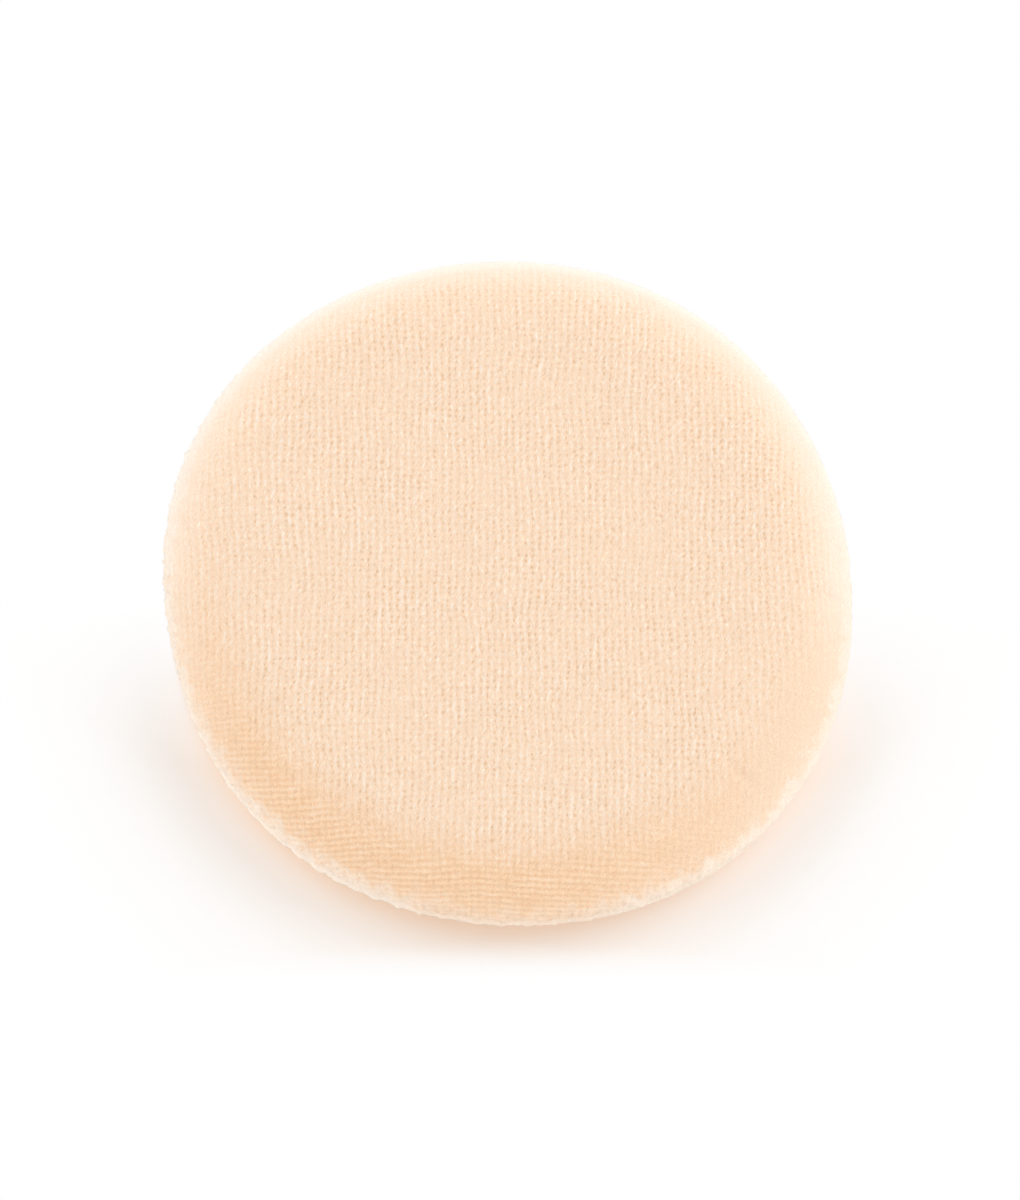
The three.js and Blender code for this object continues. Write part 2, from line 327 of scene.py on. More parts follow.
def velourMaterial(name):
    # cut cotton pile: matt, deep peach in the gaps as painted shade and pale at the tips, with painted
    # sheen paling the lit edges and the seam, and a soft bloom of sheen where it is seen along the
    # surface
    material, tree = newMaterial(name)
    place = addNode(tree, "ShaderNodeTexCoord").outputs["Object"]
    pile, groundAndShade, paintedSheen = (
        addNode(tree, "ShaderNodeAttribute", {"attribute_name": label}).outputs["Fac"]
        for label in ("pile", "groundAndShade", "paintedSheen"))
    # painted shade: a deeper tone where the rows part on the shaded side
    part = addNode(tree, "ShaderNodeMath", {"operation": "MULTIPLY"}, {
        0: groundAndShade, 1: velour["groundAndShadePart"]})
    tones, groundAndShadeTones = (
        addNode(tree, "ShaderNodeValToRGB", inputs={"Fac": pile}, stops=velour[label]).outputs["Color"]
        for label in ("pile", "groundAndShade"))
    dyed = addNode(tree, "ShaderNodeMix", {"data_type": "RGBA"}, {
        0: part.outputs[0], 6: tones, 7: groundAndShadeTones})
    # painted sheen: pale towards the lit edges and along the seam
    base = addNode(tree, "ShaderNodeMix", {"data_type": "RGBA"}, {
        0: paintedSheen, 6: dyed.outputs[2], 7: linearColour(velour["paintedSheen"])})
    drawn = addNode(tree, "ShaderNodeMapping", inputs={
        "Vector": place, "Scale": (1, velour["clumpStretch"], 1)}).outputs[0]
    grain = velour["grain"]
    noises = {
        label: addNode(tree, "ShaderNodeTexNoise", inputs={
            "Vector": where, "Scale": 1 / (grain[label]["size"] * mm), "Detail": 1.0}).outputs["Fac"]
        for label, where in (("cloud", place), ("clump", drawn), ("fibre", place))}
    noises["clump"] = addNode(tree, "ShaderNodeMapRange", {"interpolation_type": "SMOOTHSTEP"}, {
        "Value": noises["clump"], "From Min": velour["clumpBand"][0],
        "From Max": velour["clumpBand"][1]}).outputs[0]
    # the middle of each noise times its part is taken off, to keep the tone
    level = 1 - sum(grain[label]["part"] * grain[label]["middle"] for label in noises)
    for label, noise in noises.items():
        level = addNode(tree, "ShaderNodeMath", {"operation": "MULTIPLY_ADD"}, {
            0: noise, 1: grain[label]["part"], 2: level}).outputs[0]
    colour = addNode(tree, "ShaderNodeVectorMath", {"operation": "SCALE"}, {
        0: base.outputs[2], "Scale": level})
    bump = addNode(tree, "ShaderNodeBump", inputs={"Height": noises["clump"], **velour["bump"]})
    cloth = addNode(tree, "ShaderNodeBsdfPrincipled", inputs={
        "Base Color": colour.outputs[0], "Normal": bump.outputs[0], **velour["finish"],
        "Sheen Tint": linearColour(velour["sheenTint"])})
    addNode(tree, "ShaderNodeOutputMaterial", inputs={"Surface": cloth.outputs[0]})
    return material


def bells(u, v, kind, random):
    # One bell curve for each cell of the knit, a little off its place, leaning and of its own size. They
    # join as 1 minus the product of what those of the cell and its neighbours leave open.
    i, j = (np.floor(w - kind["at"] + 0.5).astype(int) for w in (u, v))
    firstI, firstJ = i.min() - 1, j.min() - 1
    table = (i.max() - firstI + 2, j.max() - firstJ + 2)
    wide, long, lean, aside, ahead, size = (
        random.normal(*kind[key], table) for key in ("wide", "long", "lean", "aside", "ahead", "size"))
    size = np.clip(size, 0, 1)
    leftOpen = np.ones(u.shape)
    for stepI in (-1, 0, 1):
        for stepJ in (-1, 0, 1):
            cell = i + stepI - firstI, j + stepJ - firstJ
            dv = v - (j + stepJ + kind["at"] + ahead[cell])
            du = u - (i + stepI + kind["at"] + aside[cell]) - lean[cell] * dv
            leftOpen *= 1 - size[cell] * np.exp(-(du / wide[cell]) ** 2 - (dv / long[cell]) ** 2)
    return 1 - leftOpen


def velourRelief(side, profile, u, v, across, along, random):
    # Lift of the pile in mm, and its tones, which carry painted shade in the gaps and on the shaded side
    # and painted sheen on the lit edges. Tufts, gaps and strokes add up to a height. Where the rows
    # part it gives way to the square of a sine, and where the pile closes it levels out. Lip and fringe
    # stand out by smooth steps of the distance from the seam.
    isFront = side["facing"] > 0
    cloth, angle = np.hypot(across, along), np.arctan2(along, across)
    fromFace, fromSeam = cloth - profile["faceCloth"], cloth - profile["seamCloth"]
    border = velour["border"]
    border = softWaves(across, along, border["length"]) + random.normal(0, border["spread"], u.shape)

    parting, closing, sooner = velour["parting"], velour["closing"], velour["sooner"]
    # painted shade: on the nap side the ground shows with a deeper tone, away from the key lamps
    shadedNapSide = towardsSide(angle, parting) * isFront
    parted = smoothStep(*parting["band"], fromFace + parting["ragged"] * border) * shadedNapSide
    early = towardsSide(angle, sooner)
    fromClosing = fromFace + sooner["by"] * early
    closed = smoothStep(*closing["band"], fromClosing + closing["ragged"] * border)
    closed = closing["part"] * closed * (1 - shadedNapSide)

    height = velour["level"]
    for kind in (velour["tuft"], velour["gap"], velour["stroke"]):
        height = height + kind["part"] * bells(u, v / kind["rows"], kind, random)
    uneven = 1 + velour["patch"]["part"] * softWaves(across, along, velour["patch"]["length"])
    height = velour["level"] + (height - velour["level"]) * uneven
    wander = parting["wander"] * softWaves(u, v, parting["wanderLength"])
    rowHeight = 1 - np.sin(np.pi * (v + wander)) ** 2
    lift = velour["depth"] * (height - 1) * (1 - parting["part"] * parted)
    lift = lift + parting["depth"] * (rowHeight - 1) * parted
    lift = lift * (1 - closed) + random.normal(0, velour["fray"], u.shape)
    inSeam = velour["inSeam"]
    lift = np.where(fromSeam > inSeam["start"], lift * inSeam["kept"] - inSeam["sink"], lift)
    rowTone = parting["tone"] + parting["toneSpread"] * softWaves(v, u, parting["toneLength"])
    rowTone = rowHeight * rowTone
    pile = height * (1 - parting["part"] * parted) + parting["part"] * parted * rowTone
    pile = pile * (1 - closed) + (closing["tone"] - sooner["deeper"] * early) * closed

    litEdgeSheen, rim, litFringe = velour["litEdgeSheen"], velour["rim"], velour["litFringe"]
    # painted sheen: the edge is paler on the side where the light falls
    litEdgeSide = towardsSide(angle, litEdgeSheen) * (1 - shadedNapSide)
    paintedSheen = litEdgeSheen["part"] * smoothStep(*litEdgeSheen["band"], fromFace) * litEdgeSide
    paintedSheen = paintedSheen * (1 - sooner["unbrushed"] * early)
    # painted glow: pale along the seam, less of it in front
    atRim = smoothStep(*rim["band"], fromSeam + rim["ragged"] * border)
    inFront = smoothStep(*rim["wornSide"], -np.sin(angle))
    paintedSheen = np.maximum(paintedSheen, rim["part"] * atRim * (1 - rim["worn"] * inFront))
    # painted glow of backlit pile: palest along the far edge and on the lit side
    litFringeSide = np.maximum(towardsSide(angle, litFringe), litFringe["brushedSide"] * litEdgeSide) * isFront
    fromRidge = fromSeam + litFringe["rise"] * np.maximum(np.sin(angle), 0)
    ridge = litFringeSide * smoothStep(*litFringe["band"], fromRidge)
    ridge = ridge * (1 - litFringe["fade"] * smoothStep(*litFringe["end"], fromRidge))
    paintedSheen = np.maximum(paintedSheen, litFringe["part"] * ridge)
    lumps = softWaves(across, along, rim["lumpLength"])
    tufts = rim["tufts"] * (height - velour["level"]) + rim["lumps"] * lumps
    lip = smoothStep(*rim["lipStart"], fromSeam) * smoothStep(*rim["lipEnd"], fromSeam)
    lift = lift + (rim["out"] + tufts * (1 - rim["smooth"] * litEdgeSide)) * lip
    lift = lift + litFringe["out"] * ridge
    if not isFront:
        under = velour["underRibbon"]
        pressed = smoothStep(*under["beside"], np.abs(along) - puffShape["ribbonHalf"])
        lift = lift * (1 - under["flat"] * pressed) - under["press"] * pressed
    return lift, {"pile": pile, "groundAndShade": parted, "paintedSheen": paintedSheen}


def velourCover(name, sideName, material):
    # A square lattice of knit cells covers the flat cloth, wanders a little and is laid on the puff with
    # the relief of its pile. Points past the end of the cloth are drawn back to it.
    side, knit = puffShape[sideName], velour[sideName]
    profile = sideProfile(side)
    random = np.random.default_rng(knit["seed"])
    reach = profile["reach"]
    lattice = []
    for spacing, points in zip((velour["ribSpacing"], velour["rowSpacing"]), knit["points"]):
        count = (int(np.ceil(reach / spacing)) + 1) * points
        lattice.append(np.arange(-count, count + 1) / points)
    u, v = np.meshgrid(*lattice, indexing="ij")
    drift = velour["drift"]
    across = u * velour["ribSpacing"] + drift["size"] * softWaves(v, u, drift["length"])
    along = v * velour["rowSpacing"] + drift["size"] * softWaves(u + drift["shift"], v, drift["length"])
    lift, tones = velourRelief(side, profile, u, v, across, along, random)
    cloth = np.hypot(across, along)
    inside = np.minimum(1, reach / np.maximum(cloth, reach))
    across, along = across * inside, along * inside
    place, _ = onPuff(side, profile, across, along, lift)
    place[..., 2] = np.maximum(place[..., 2], velour["clearOfFloor"])
    number = np.arange(u.size).reshape(u.shape)
    quads, reached = (
        np.stack([w[:-1, :-1], w[1:, :-1], w[1:, 1:], w[:-1, 1:]], axis=-1) for w in (number, cloth))
    quads = quads[reached.min(axis=-1) < reach]
    if side["facing"] < 0:
        quads = quads[:, ::-1]
    used = np.zeros(u.size, bool)
    used[quads.ravel()] = True
    renumber = np.cumsum(used) - 1
    flat = np.stack([across, along], axis=-1) / (2 * reach) + 0.5
    return meshPiece(
        name, place.reshape(-1, 3)[used], renumber[quads], material,
        {label: values.ravel()[used] for label, values in tones.items()}, flat.reshape(-1, 2)[used])


# Loose fibre ends that stand out of the pile: thin three-sided spikes

fibres = {
    "thickness": 0.04,     # mm at the root; drawn thicker than the real 0.02 so that it shows
    "sink": 0.12,          # mm, root below the tips of the tufts
    "nap": (0.0, 0.35, 0.0),   # lean of the whole pile
    "lowest": 0.15,        # cosine to the surface's normal, below which a fibre is left out
    "lengthSpread": 0.45,
    "pastSeam": 0.5,       # mm
    "besideRibbon": 0.5,   # mm kept free
    "clearOfFloor": 0.02,  # mm
    "brushedFlat": {"towards": 80.0, "side": (-0.3, 0.5)},
    # each group from and to these mm of cloth from the middle; length in mm where the pile stands and
    # where it is brushed flat
    "front": {"seed": 31, "groups": (
        {"count": 8000, "from": 0.0, "to": 34.0, "length": (0.4, 0.4), "lean": 0.6},
        {"count": 40000, "from": 36.0, "to": 44.2, "length": (0.3, 0.15), "lean": 0.45})},
    "back": {"seed": 32, "groups": (
        {"count": 8000, "from": 0.0, "to": 34.0, "length": (0.4, 0.4), "lean": 0.6},
        {"count": 30000, "from": 36.0, "to": 43.2, "length": (0.3, 0.15), "lean": 0.45})},
    # pale cream with paler tips: a painted glow of light passing through the fibres
    "tones": ((0.0, "#FFEAD5"), (1.0, "#FFF5E8")),
    "tipTone": 0.5,        # the tip is paler than the root by this, a painted glow of light through the fibre end
    "mapHeights": (0.1, 0.2, 0.3, 0.9),   # of the three root points and the tip in the UV map
    "finish": {"Roughness": 0.9, "Specular IOR Level": 0.2,
               "Sheen Weight": 0.8, "Sheen Roughness": 0.4},
    "sheenTint": "#FFF9F2",
}


def fibreMaterial(name):
    # cotton fibre ends: matt, painted pale and paler at the tips for the glow of light passing through
    # them
    material, tree = newMaterial(name)
    tone = addNode(tree, "ShaderNodeAttribute", {"attribute_name": "tone"}).outputs["Fac"]
    colour = addNode(tree, "ShaderNodeValToRGB", inputs={"Fac": tone}, stops=fibres["tones"])
    hair = addNode(tree, "ShaderNodeBsdfPrincipled", inputs={
        "Base Color": colour.outputs["Color"], **fibres["finish"],
        "Sheen Tint": linearColour(fibres["sheenTint"])})
    addNode(tree, "ShaderNodeOutputMaterial", inputs={"Surface": hair.outputs[0]})
    return material


def fibrePiece(name, sideName, material):
    # Each fibre is a spike: three points round its root and one at its tip. Its direction is the
    # surface's own normal, leaning with the nap and at random.
    side = puffShape[sideName]
    profile = sideProfile(side)
    random = np.random.default_rng(fibres[sideName]["seed"])
    roots, ways, lengths = [], [], []
    for group in fibres[sideName]["groups"]:
        count, farthest = group["count"], min(group["to"], profile["seamCloth"] + fibres["pastSeam"])
        cloth = np.sqrt(random.uniform(group["from"] ** 2, farthest ** 2, count))
        angle = random.uniform(0, 2 * np.pi, count)
        sunk = np.full(count, -fibres["sink"])
        root, normal = onPuff(side, profile, cloth * np.cos(angle), cloth * np.sin(angle), sunk)
        way = unit(normal + np.array(fibres["nap"]) + random.normal(0, group["lean"], (count, 3)))
        outwards = np.sum(way * normal, axis=1) > fibres["lowest"]
        underRibbon = np.abs(root[:, 1]) < puffShape["ribbonHalf"] + fibres["besideRibbon"]
        kept = outwards & ~(underRibbon & (side["facing"] < 0))
        roots.append(root[kept])
        ways.append(way[kept])
        standing, flat = group["length"]
        length = standing + (flat - standing) * towardsSide(angle, fibres["brushedFlat"])
        lengths.append((length * random.lognormal(0, fibres["lengthSpread"], count))[kept])
    root, way, length = np.concatenate(roots), np.concatenate(ways), np.concatenate(lengths)
    count = len(root)
    tip = root + way * length[:, None]
    first = unit(np.cross(way, random.normal(0, 1, (count, 3))))
    second = np.cross(way, first)
    turns = np.arange(3) * 2 * np.pi / 3
    spokes = [np.cos(t) * first + np.sin(t) * second for t in turns]
    half = fibres["thickness"] / 2
    points = np.stack([root + half * spoke for spoke in spokes] + [tip], axis=1)
    points[..., 2] = np.maximum(points[..., 2], fibres["clearOfFloor"])
    spike = np.array([(0, 1, 3), (1, 2, 3), (2, 0, 3), (2, 1, 0)])
    faces = (np.arange(count)[:, None, None] * 4 + spike).reshape(-1, 3)
    tipTone = fibres["tipTone"]
    tone = random.uniform(0, 1 - tipTone, count)[:, None] + np.array([0, 0, 0, tipTone])
    uv = np.stack([tone, np.tile(fibres["mapHeights"], (count, 1))], axis=-1)
    piece = meshPiece(name, points.reshape(-1, 3), faces, material, {"tone": tone}, uv.reshape(-1, 2))
    # real fibres let light through, so these neither shade each other nor the cloth
    piece.visible_shadow = False
    piece.visible_diffuse = False
    return piece


# Finger ribbon: polyester satin, woven with a fine warp along its length and a firm edge; two halves
# that meet under the middle

ribbon = {
    "thickness": 0.32,     # mm, like the sizes below
    "depth": 0.3,          # middle of its thickness above the floor, under the level back
    "edgeInset": 0.75,     # at the rounded edge it is drawn into the pile
    "turnIn": (1.1, 0.95),   # half sizes of the turn into the seam, along X and Z
    "tailEnd": 35.0,       # X of the end inside the seam
    "edgeWidth": 0.8,      # firm woven edge, thicker by edgeSwell
    "edgeSwell": 1.3,
    "edgePower": 60,       # the section closes at its edges by this power of the width
    "edgeClear": 0.02,     # which reaches 1 this far outside
    "steps": 46,           # along the level part and up the edge
    "turnEvery": 3,        # one step in so many for the turn and the tail
    "firstStep": 0.02,     # keeps the closed end in the middle out of the shading
    "points": 31,          # across the width, on each face
    "bendFrom": 0.038,     # m from the middle, as is bendTo
    "bendTo": 0.004,
    "warpSpacing": 0.16,   # drawn coarser than the real 0.06 so that it shows
    "floatLength": 1.6,    # length of the floating threads
    "warp": {"Scale": 0.31, "Distortion": 0.6, "Detail": 1.0},   # a band of the wave for each warp thread
    "warpPart": 0.35,
    "toneLess": 0.17,      # the middle of the warp's part, taken off to keep the tone
    "tones": ((0.0, "#EFC9A3"), (0.5, "#F7D9BA"), (1.0, "#FDE9D3")),
    "bump": {"Strength": 0.5, "Distance": 0.03 * mm},
    "finish": {"Roughness": 0.36, "Specular IOR Level": 0.5,
               "Sheen Weight": 0.2, "Sheen Roughness": 0.4},
}


def satinMaterial(name):
    # polyester satin: long floats give a soft streaked gloss along the ribbon
    material, tree = newMaterial(name)
    along, across = (
        addNode(tree, "ShaderNodeAttribute", {"attribute_name": label}).outputs["Fac"]
        for label in ("along", "across"))
    weave = addNode(tree, "ShaderNodeCombineXYZ", inputs={"X": along, "Y": across})
    stretched = addNode(tree, "ShaderNodeMapping", inputs={
        "Vector": weave.outputs[0],
        "Scale": (1 / ribbon["floatLength"], 1 / ribbon["warpSpacing"], 1)}).outputs[0]
    floats = addNode(tree, "ShaderNodeTexNoise", inputs={
        "Vector": stretched, "Scale": 1.0, "Detail": 2.0})
    warp = addNode(tree, "ShaderNodeTexWave", {"bands_direction": "Y"}, {
        "Vector": stretched, **ribbon["warp"]})
    mixed = addNode(tree, "ShaderNodeMath", {"operation": "MULTIPLY_ADD"}, {
        0: warp.outputs["Fac"], 1: ribbon["warpPart"], 2: floats.outputs["Fac"]}).outputs[0]
    tone = addNode(tree, "ShaderNodeMath", {"operation": "SUBTRACT"}, {0: mixed, 1: ribbon["toneLess"]})
    bump = addNode(tree, "ShaderNodeBump", inputs={"Height": mixed, **ribbon["bump"]})
    colour = addNode(
        tree, "ShaderNodeValToRGB", inputs={"Fac": tone.outputs[0]}, stops=ribbon["tones"])
    satin = addNode(tree, "ShaderNodeBsdfPrincipled", inputs={
        "Base Color": colour.outputs["Color"], "Normal": bump.outputs[0], **ribbon["finish"]})
    addNode(tree, "ShaderNodeOutputMaterial", inputs={"Surface": satin.outputs[0]})
    return material


def ribbonHalf(name, way, material):
    # A flat closed section carried along the half path: level under the back, a quarter ellipse up the
    # rounded edge, a small quarter ellipse into the seam and a straight tail.
    seam, depth, radius = puffShape["seamHeight"], ribbon["depth"], puffShape["radius"]
    level = puffShape["back"]["faceRadius"]
    turnX, turnZ = ribbon["turnIn"]
    wide, tall = radius - ribbon["edgeInset"] - level, seam - turnZ - depth
    steps, every = ribbon["steps"], ribbon["turnEvery"]
    quarter = np.linspace(0, np.pi / 2, steps, endpoint=False)
    inner = level + wide - turnX
    pathX = np.concatenate([
        [0], np.linspace(ribbon["firstStep"], level, steps - 1, endpoint=False),
        level + wide * np.sin(quarter), inner + turnX * np.cos(quarter[::every]),
        np.linspace(inner, ribbon["tailEnd"], steps // every)])
    pathZ = np.concatenate([
        np.full(steps, depth), seam - turnZ - tall * np.cos(quarter),
        seam - turnZ + turnZ * np.sin(quarter[::every]), np.full(steps // every, seam)])
    along = np.concatenate([[0], np.cumsum(np.hypot(np.diff(pathX), np.diff(pathZ)))])
    tangent = unit(np.stack([np.gradient(pathX, along), np.gradient(pathZ, along)], axis=-1))
    half = puffShape["ribbonHalf"]
    width = np.linspace(-half, half, ribbon["points"])
    edge = smoothStep(half - ribbon["edgeWidth"], half - ribbon["edgeWidth"] / 2, np.abs(width))
    swell = 1 + (ribbon["edgeSwell"] - 1) * edge
    outmost = (np.abs(width) / (half + ribbon["edgeClear"])) ** ribbon["edgePower"]
    thick = ribbon["thickness"] / 2 * swell * np.sqrt(np.clip(1 - outmost, 0, 1))
    sectionY = np.concatenate([width, width[::-1]])
    sectionOut = np.concatenate([thick, -thick[::-1]])
    outwardX, outwardZ = tangent[:, 1:2], -tangent[:, 0:1]
    x = pathX[:, None] + outwardX * sectionOut
    z = pathZ[:, None] + outwardZ * sectionOut
    y = np.broadcast_to(sectionY, x.shape)
    x = way * x * np.sqrt(1 - (y / radius) ** 2)
    ring = len(sectionY)
    number = np.arange(len(pathX) * ring).reshape(len(pathX), ring)
    after = np.roll(number, -1, axis=1)
    quads = np.stack([number[:-1], number[1:], after[1:], after[:-1]], axis=-1).reshape(-1, 4)
    # both ends are closed by strips from one face to the other
    pair = np.arange(ribbon["points"] - 1)
    far = ring - 1 - pair
    cap = np.stack([pair, pair + 1, far - 1, far], axis=-1)
    quads = np.concatenate([quads, cap, (cap + number[-1, 0])[:, ::-1]])
    if way < 0:
        quads = quads[:, ::-1]
    points = np.stack([x, y, z], axis=-1).reshape(-1, 3)
    alongAll = np.broadcast_to(along[:, None], x.shape)
    girth = np.broadcast_to(np.arange(ring) / ring, x.shape)
    uv = np.stack([alongAll / along[-1], girth], axis=-1).reshape(-1, 2)
    piece = meshPiece(name, points, quads, material, {"along": alongAll, "across": y}, uv)
    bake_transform(piece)
    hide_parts("finger_ribbon")


# Foam disc: cut from open-cell polyurethane foam, matt and cream, with small round cells

foam = {
    "inset": foamLow.z / mm,
    "radius": foamHigh.x / mm,
    "grooveRadius": 34.2,   # mm, closes round the turned-in edges of the covers
    "grooveHalf": 1.65,
    "points": {"level": 30, "edge": 24, "groove": 8, "turn": 240},
    "firstRing": 0.05,      # round each pole, in shares of the level part
    "rough": 0.06,          # mm, cut cells
    "seed": 41,
    "cellSize": 0.6,        # mm
    # from the middle of a cell to its edge: deeper in the hollow middle is painted shade
    "tones": ((0.0, "#E5CDA4"), (0.35, "#F6E6C8"), (1.0, "#FFF4DE")),
    "bump": {"Strength": 0.8, "Distance": 0.2 * mm},
    "finish": {"Roughness": 0.9, "Specular IOR Level": 0.2},
}


def foamMaterial(name):
    # polyurethane foam: matt cream, with painted shade deepening the tone in the hollow middle of each
    # open cell
    material, tree = newMaterial(name)
    place = addNode(tree, "ShaderNodeTexCoord").outputs["Object"]
    cells = addNode(tree, "ShaderNodeTexVoronoi", inputs={
        "Vector": place, "Scale": 1 / (foam["cellSize"] * mm), "Randomness": 1.0}).outputs["Distance"]
    bump = addNode(tree, "ShaderNodeBump", inputs={"Height": cells, **foam["bump"]})
    colour = addNode(tree, "ShaderNodeValToRGB", inputs={"Fac": cells}, stops=foam["tones"])
    sponge = addNode(tree, "ShaderNodeBsdfPrincipled", inputs={
        "Base Color": colour.outputs["Color"], "Normal": bump.outputs[0], **foam["finish"]})
    addNode(tree, "ShaderNodeOutputMaterial", inputs={"Surface": sponge.outputs[0]})
    return material


def foamPiece(name, material):
    # A section of radius and height turned round Z: level back, rounded edge, rim groove, rounded edge
    # and crowned front, with a little roughness from the cut cells.
    seam, groove = puffShape["seamHeight"], foam["grooveHalf"]
    backFace, frontFace = puffShape["back"]["faceRadius"], puffShape["front"]["faceRadius"]
    low, high = foam["inset"], puffShape["front"]["level"] - foam["inset"]
    crown = puffShape["front"]["crown"]
    outer, inner, wallPoints = foam["radius"], foam["grooveRadius"], foam["points"]["groove"]
    quarter = np.linspace(0, np.pi / 2, foam["points"]["edge"])
    backRise, frontRise = seam - groove - low, high - crown - seam - groove
    level = np.linspace(foam["firstRing"], 1, foam["points"]["level"], endpoint=False)
    radius = np.concatenate([
        backFace * level, backFace + (outer - backFace) * np.sin(quarter),
        np.linspace(outer, inner, wallPoints)[1:], np.full(wallPoints - 2, inner),
        np.linspace(inner, outer, wallPoints)[1:-1],
        frontFace + (outer - frontFace) * np.cos(quarter), frontFace * level[::-1]])
    height = np.concatenate([
        np.full(len(level), low), low + backRise * (1 - np.cos(quarter)),
        np.full(wallPoints - 1, seam - groove),
        np.linspace(seam - groove, seam + groove, wallPoints)[1:-1],
        np.full(wallPoints - 2, seam + groove),
        seam + groove + frontRise * np.sin(quarter), high - crown * level[::-1] ** 2])
    turn = np.arange(foam["points"]["turn"]) * 2 * np.pi / foam["points"]["turn"]
    random = np.random.default_rng(foam["seed"])
    rough = random.normal(0, foam["rough"], (len(radius), len(turn)))
    spread = radius[:, None] + rough
    points = np.stack([
        spread * np.cos(turn), spread * np.sin(turn), height[:, None] + rough], axis=-1).reshape(-1, 3)
    number = np.arange(len(points)).reshape(len(radius), len(turn))
    after = np.roll(number, -1, axis=1)
    quads = np.stack([number[:-1], after[:-1], after[1:], number[1:]], axis=-1).reshape(-1, 4)
    # the two poles are closed by a middle point each
    points = np.concatenate([points, [(0, 0, low), (0, 0, high)]])
    bottom, top = len(points) - 2, len(points) - 1
    lowFan = np.stack([np.full(len(turn), bottom), after[0], number[0]], axis=-1)
    highFan = np.stack([np.full(len(turn), top), number[-1], after[-1]], axis=-1)
    triangles = np.concatenate([quads[:, [0, 1, 2]], quads[:, [0, 2, 3]], lowFan, highFan])
    piece = meshPiece(name, points, triangles, material)
    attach(piece, "puff")
    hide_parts("foam_core")


# Sewing threads of the frame: spun polyester, matt with a faint twist

thread = {
    "plySize": 0.12,   # mm
    "tones": ((0.0, "#E7BF97"), (1.0, "#F8DEC3")),
    "bump": {"Strength": 0.6, "Distance": 0.03 * mm},
    "finish": {"Roughness": 0.6, "Sheen Weight": 0.2},
}


def threadMaterial(name):
    # spun polyester: the plies give an uneven, soft surface with hardly any gloss
    material, tree = newMaterial(name)
    place = addNode(tree, "ShaderNodeTexCoord").outputs["Object"]
    ply = addNode(tree, "ShaderNodeTexNoise", inputs={
        "Vector": place, "Scale": 1 / (thread["plySize"] * mm), "Detail": 2.0}).outputs["Fac"]
    bump = addNode(tree, "ShaderNodeBump", inputs={"Height": ply, **thread["bump"]})
    colour = addNode(tree, "ShaderNodeValToRGB", inputs={"Fac": ply}, stops=thread["tones"])
    spun = addNode(tree, "ShaderNodeBsdfPrincipled", inputs={
        "Base Color": colour.outputs["Color"], "Normal": bump.outputs[0], **thread["finish"]})
    addNode(tree, "ShaderNodeOutputMaterial", inputs={"Surface": spun.outputs[0]})
    return material


frontPiece = velourCover("front_velour", "front", velourMaterial("peachCottonVelourFront"))
backPiece = velourCover("back_velour", "back", velourMaterial("peachCottonVelourBack"))
paleFibre = fibreMaterial("creamCottonFibre")
frontFibres = fibrePiece("front_pile_fibres", "front", paleFibre)
backFibres = fibrePiece("back_pile_fibres", "back", paleFibre)
for piece, node, slot in (
        (frontPiece, "front_cover", "front_velour"), (backPiece, "back_cover", "back_velour"),
        (frontFibres, None, "front_velour"), (backFibres, None, "back_velour")):
    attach(piece, "puff")
    if node:
        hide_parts(node)
foamPiece("foam_disc", foamMaterial("openCellFoam"))
satinRibbon = satinMaterial("peachSatinRibbon")
ribbonHalf("ribbon_right", 1, satinRibbon)
ribbonHalf("ribbon_left", -1, satinRibbon)
spunThread = threadMaterial("spunPolyesterThread")
for node in ("seam_needle_thread", "seam_bobbin_thread", "closing_thread"):
    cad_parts[node].data.materials.clear()
    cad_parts[node].data.materials.append(spunThread)
print("pieces made")


# Floor, light and camera

photo = {"width": 1020, "height": 1200, "pixelsPerMm": 8.59, "puffX": 508.5, "puffY": 592}
viewing = {"elevation": 75.0, "distance": 1200.0, "sensor": 36.0, "clip": (0.01, 20)}
light = {
    "tentColour": (1.0, 0.98, 0.96), "tentSides": 1.9, "tentTop": 0.15, "tentBelow": 0.8,
    "keyColour": (1.0, 1.0, 1.0), "keySize": 0.5,
    # place in m, watts
    "keys": {"leftKey": ((-0.5, 0.2, 0.8), 1.43), "rightKey": ((0.55, 0.2, 0.78), 2.16)},
}
floor = {
    "half": 1500.0,   # mm, like the sizes below
    # colour of the card by the distance from the puff's middle: light grey under the puff, then a painted
    # warm glow close by for light that comes through the puff, then white
    "cardBy": ((36.5, "#F1EFED"), (38.2, "#FFEDDC"), (40.5, "#FFF5EC"), (43.5, "#FFFAF6"),
               (52.0, "#FFFFFF")),
    # share of plain white on the card by the same distance
    "whiteBy": ((38.0, 0.05), (40.5, 0.18), (46.0, 0.32), (54.0, 0.7), (60.0, 1.0)),
    # and by Y, where it starts and is full, behind the puff and before it, clear of the puff's own foot
    "whiteBehind": (-28.0, 2.0),
    "whiteBefore": (-38.3, -45.0),
    "whiteClear": (38.3, 40.0),
    "lightFromBelow": 35.5,   # within this distance it lets light through
}


def seenDirectly(tree):
    # 1 for what the camera sees, directly, in a reflection or through something clear
    rays = addNode(tree, "ShaderNodeLightPath").outputs
    seen = rays["Is Camera Ray"]
    for label in ("Is Glossy Ray", "Is Transmission Ray"):
        seen = addNode(tree, "ShaderNodeMath", {"operation": "MAXIMUM"}, {
            0: seen, 1: rays[label]}).outputs[0]
    return seen


